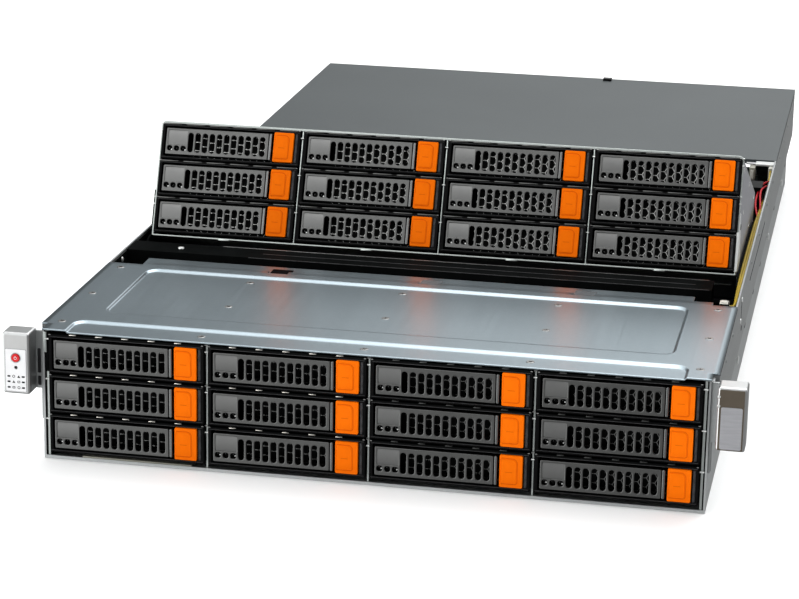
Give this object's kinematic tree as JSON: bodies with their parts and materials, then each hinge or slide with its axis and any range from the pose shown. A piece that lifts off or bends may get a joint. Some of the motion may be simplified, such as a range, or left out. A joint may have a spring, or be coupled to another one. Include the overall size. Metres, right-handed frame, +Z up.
{
  "type": "rack server",
  "caption": "Two-unit rack storage server: hot-swap drive carriers across the front and a second drive cage hinged up out of the chassis behind it.",
  "frame": {"origin": "middle of the underside, halfway between the front plane and the rear panel", "axes": "+X to the right seen from the front, +Y from the front to the back, +Z up; stored with the second drive cage raised"},
  "size_m": [0.475, 0.91, 0.1649],
  "materials": {
    "black_plastic": "matte",
    "board": "satin",
    "button_red": "gloss",
    "carrier_metal": "satin",
    "cover_paint": "matte",
    "dark_steel": "matte",
    "ear_silver": "satin",
    "galvanised_sheet": "satin",
    "heatsink_aluminium": "satin",
    "hinge_steel": "satin",
    "lever_gunmetal": "satin",
    "nickel": "gloss",
    "overlay_white": "satin",
    "port_shell": "satin",
    "release_orange": "satin",
    "wire_insulation": "satin"
  },
  "bodies": {
    "chassis": {"chassis_tub": "galvanised_sheet", "rear_panel": "galvanised_sheet", "front_top_cover": "galvanised_sheet", "front_drive_cage": "galvanised_sheet", "front_backplane": "board", "lift_brackets": "dark_steel", "left_ear": "ear_silver", "right_ear": "ear_silver", "control_overlay": "overlay_white", "fan_frames": "black_plastic", "motherboard": "board", "cpu_heatsinks": "heatsink_aluminium", "memory_modules": "board", "expansion_cards": "board", "slot_covers": "nickel", "io_ports": "port_shell", "psu_bay": "galvanised_sheet", "power_board": "board", "wire_harness": "wire_insulation", "rail_studs": "hinge_steel", "cover_screws": "nickel"},
    "lift": {"lift_cage": "galvanised_sheet", "lift_backplane": "board", "lift_hinge_rod": "hinge_steel"},
    "top_cover": {"top_cover": "cover_paint"},
    "psu_1": {"psu_1": "galvanised_sheet"},
    "psu_2": {"psu_2": "galvanised_sheet"},
    "fan_rotor_1": {"fan_rotor_1": "black_plastic"},
    "fan_rotor_2": {"fan_rotor_2": "black_plastic"},
    "fan_rotor_3": {"fan_rotor_3": "black_plastic"},
    "power_button": {"power_button": "button_red"},
    "reset_button": {"reset_button": "black_plastic"},
    "front_carrier_r1c1": {"front_carrier_r1c1": "carrier_metal"},
    "front_carrier_r1c2": {"front_carrier_r1c2": "carrier_metal"},
    "front_carrier_r1c3": {"front_carrier_r1c3": "carrier_metal"},
    "front_carrier_r1c4": {"front_carrier_r1c4": "carrier_metal"},
    "front_carrier_r2c1": {"front_carrier_r2c1": "carrier_metal"},
    "front_carrier_r2c2": {"front_carrier_r2c2": "carrier_metal"},
    "front_carrier_r2c3": {"front_carrier_r2c3": "carrier_metal"},
    "front_carrier_r2c4": {"front_carrier_r2c4": "carrier_metal"},
    "front_carrier_r3c1": {"front_carrier_r3c1": "carrier_metal"},
    "front_carrier_r3c2": {"front_carrier_r3c2": "carrier_metal"},
    "front_carrier_r3c3": {"front_carrier_r3c3": "carrier_metal"},
    "front_carrier_r3c4": {"front_carrier_r3c4": "carrier_metal"},
    "lift_carrier_r1c1": {"lift_carrier_r1c1": "carrier_metal"},
    "lift_carrier_r1c2": {"lift_carrier_r1c2": "carrier_metal"},
    "lift_carrier_r1c3": {"lift_carrier_r1c3": "carrier_metal"},
    "lift_carrier_r1c4": {"lift_carrier_r1c4": "carrier_metal"},
    "lift_carrier_r2c1": {"lift_carrier_r2c1": "carrier_metal"},
    "lift_carrier_r2c2": {"lift_carrier_r2c2": "carrier_metal"},
    "lift_carrier_r2c3": {"lift_carrier_r2c3": "carrier_metal"},
    "lift_carrier_r2c4": {"lift_carrier_r2c4": "carrier_metal"},
    "lift_carrier_r3c1": {"lift_carrier_r3c1": "carrier_metal"},
    "lift_carrier_r3c2": {"lift_carrier_r3c2": "carrier_metal"},
    "lift_carrier_r3c3": {"lift_carrier_r3c3": "carrier_metal"},
    "lift_carrier_r3c4": {"lift_carrier_r3c4": "carrier_metal"},
    "front_lever_r1c1": {"front_lever_r1c1": "lever_gunmetal"},
    "front_button_r1c1": {"front_button_r1c1": "release_orange"},
    "lift_lever_r1c1": {"lift_lever_r1c1": "lever_gunmetal"},
    "lift_button_r1c1": {"lift_button_r1c1": "release_orange"}
  },
  "joints": [
    {"name": "lift_hinge", "type": "hinge", "parent": "chassis", "child": "lift", "pos_m": [0, 0.02, 0.01], "axis": [-1, 0, 0], "range_deg": [-21.46, 0]},
    {"name": "front_slide_r1c1", "type": "slide", "parent": "chassis", "child": "front_carrier_r1c1", "axis": [0, -1, 0], "range_m": [0, 0.165]},
    {"name": "front_slide_r1c2", "type": "slide", "parent": "chassis", "child": "front_carrier_r1c2", "axis": [0, -1, 0], "range_m": [0, 0.165]},
    {"name": "front_slide_r1c3", "type": "slide", "parent": "chassis", "child": "front_carrier_r1c3", "axis": [0, -1, 0], "range_m": [0, 0.165]},
    {"name": "front_slide_r1c4", "type": "slide", "parent": "chassis", "child": "front_carrier_r1c4", "axis": [0, -1, 0], "range_m": [0, 0.165]},
    {"name": "front_slide_r2c1", "type": "slide", "parent": "chassis", "child": "front_carrier_r2c1", "axis": [0, -1, 0], "range_m": [0, 0.165]},
    {"name": "front_slide_r2c2", "type": "slide", "parent": "chassis", "child": "front_carrier_r2c2", "axis": [0, -1, 0], "range_m": [0, 0.165]},
    {"name": "front_slide_r2c3", "type": "slide", "parent": "chassis", "child": "front_carrier_r2c3", "axis": [0, -1, 0], "range_m": [0, 0.165]},
    {"name": "front_slide_r2c4", "type": "slide", "parent": "chassis", "child": "front_carrier_r2c4", "axis": [0, -1, 0], "range_m": [0, 0.165]},
    {"name": "front_slide_r3c1", "type": "slide", "parent": "chassis", "child": "front_carrier_r3c1", "axis": [0, -1, 0], "range_m": [0, 0.165]},
    {"name": "front_slide_r3c2", "type": "slide", "parent": "chassis", "child": "front_carrier_r3c2", "axis": [0, -1, 0], "range_m": [0, 0.165]},
    {"name": "front_slide_r3c3", "type": "slide", "parent": "chassis", "child": "front_carrier_r3c3", "axis": [0, -1, 0], "range_m": [0, 0.165]},
    {"name": "front_slide_r3c4", "type": "slide", "parent": "chassis", "child": "front_carrier_r3c4", "axis": [0, -1, 0], "range_m": [0, 0.165]},
    {"name": "lift_slide_r1c1", "type": "slide", "parent": "lift", "child": "lift_carrier_r1c1", "axis": [0, -0.9307, 0.3659], "range_m": [0, 0.165]},
    {"name": "lift_slide_r1c2", "type": "slide", "parent": "lift", "child": "lift_carrier_r1c2", "axis": [0, -0.9307, 0.3659], "range_m": [0, 0.165]},
    {"name": "lift_slide_r1c3", "type": "slide", "parent": "lift", "child": "lift_carrier_r1c3", "axis": [0, -0.9307, 0.3659], "range_m": [0, 0.165]},
    {"name": "lift_slide_r1c4", "type": "slide", "parent": "lift", "child": "lift_carrier_r1c4", "axis": [0, -0.9307, 0.3659], "range_m": [0, 0.165]},
    {"name": "lift_slide_r2c1", "type": "slide", "parent": "lift", "child": "lift_carrier_r2c1", "axis": [0, -0.9307, 0.3659], "range_m": [0, 0.165]},
    {"name": "lift_slide_r2c2", "type": "slide", "parent": "lift", "child": "lift_carrier_r2c2", "axis": [0, -0.9307, 0.3659], "range_m": [0, 0.165]},
    {"name": "lift_slide_r2c3", "type": "slide", "parent": "lift", "child": "lift_carrier_r2c3", "axis": [0, -0.9307, 0.3659], "range_m": [0, 0.165]},
    {"name": "lift_slide_r2c4", "type": "slide", "parent": "lift", "child": "lift_carrier_r2c4", "axis": [0, -0.9307, 0.3659], "range_m": [0, 0.165]},
    {"name": "lift_slide_r3c1", "type": "slide", "parent": "lift", "child": "lift_carrier_r3c1", "axis": [0, -0.9307, 0.3659], "range_m": [0, 0.165]},
    {"name": "lift_slide_r3c2", "type": "slide", "parent": "lift", "child": "lift_carrier_r3c2", "axis": [0, -0.9307, 0.3659], "range_m": [0, 0.165]},
    {"name": "lift_slide_r3c3", "type": "slide", "parent": "lift", "child": "lift_carrier_r3c3", "axis": [0, -0.9307, 0.3659], "range_m": [0, 0.165]},
    {"name": "lift_slide_r3c4", "type": "slide", "parent": "lift", "child": "lift_carrier_r3c4", "axis": [0, -0.9307, 0.3659], "range_m": [0, 0.165]},
    {"name": "front_lever_swing_r1c1", "type": "hinge", "parent": "front_carrier_r1c1", "child": "front_lever_r1c1", "pos_m": [-0.205, -0.4356, 0.072], "axis": [0, 0, -1], "range_deg": [0, 60]},
    {"name": "front_button_press_r1c1", "type": "slide", "parent": "front_carrier_r1c1", "child": "front_button_r1c1", "axis": [0, 1, 0], "range_m": [0, 0.002], "stiffness_N_per_m": 600},
    {"name": "lift_lever_swing_r1c1", "type": "hinge", "parent": "lift_carrier_r1c1", "child": "lift_lever_r1c1", "pos_m": [-0.205, -0.17007, 0.15133], "axis": [0, -0.3659, -0.9307], "range_deg": [0, 60]},
    {"name": "lift_button_press_r1c1", "type": "slide", "parent": "lift_carrier_r1c1", "child": "lift_button_r1c1", "axis": [0, 0.9307, -0.3659], "range_m": [0, 0.002], "stiffness_N_per_m": 600},
    {"name": "top_cover_lift", "type": "slide", "parent": "chassis", "child": "top_cover", "axis": [0, 0, 1], "range_m": [0, 0.12]},
    {"name": "psu_1_slide", "type": "slide", "parent": "chassis", "child": "psu_1", "axis": [0, 1, 0], "range_m": [0, 0.188]},
    {"name": "psu_2_slide", "type": "slide", "parent": "chassis", "child": "psu_2", "axis": [0, 1, 0], "range_m": [0, 0.188]},
    {"name": "fan_1_spin", "type": "hinge", "parent": "chassis", "child": "fan_rotor_1", "pos_m": [-0.12, 0.081, 0.0422], "axis": [0, 1, 0], "continuous": true},
    {"name": "fan_2_spin", "type": "hinge", "parent": "chassis", "child": "fan_rotor_2", "pos_m": [0, 0.081, 0.0422], "axis": [0, 1, 0], "continuous": true},
    {"name": "fan_3_spin", "type": "hinge", "parent": "chassis", "child": "fan_rotor_3", "pos_m": [0.12, 0.081, 0.0422], "axis": [0, 1, 0], "continuous": true},
    {"name": "power_press", "type": "slide", "parent": "chassis", "child": "power_button", "axis": [0, 1, 0], "range_m": [0, 0.0012], "stiffness_N_per_m": 800},
    {"name": "reset_press", "type": "slide", "parent": "chassis", "child": "reset_button", "axis": [0, 1, 0], "range_m": [0, 0.0006], "stiffness_N_per_m": 600}
  ]
}
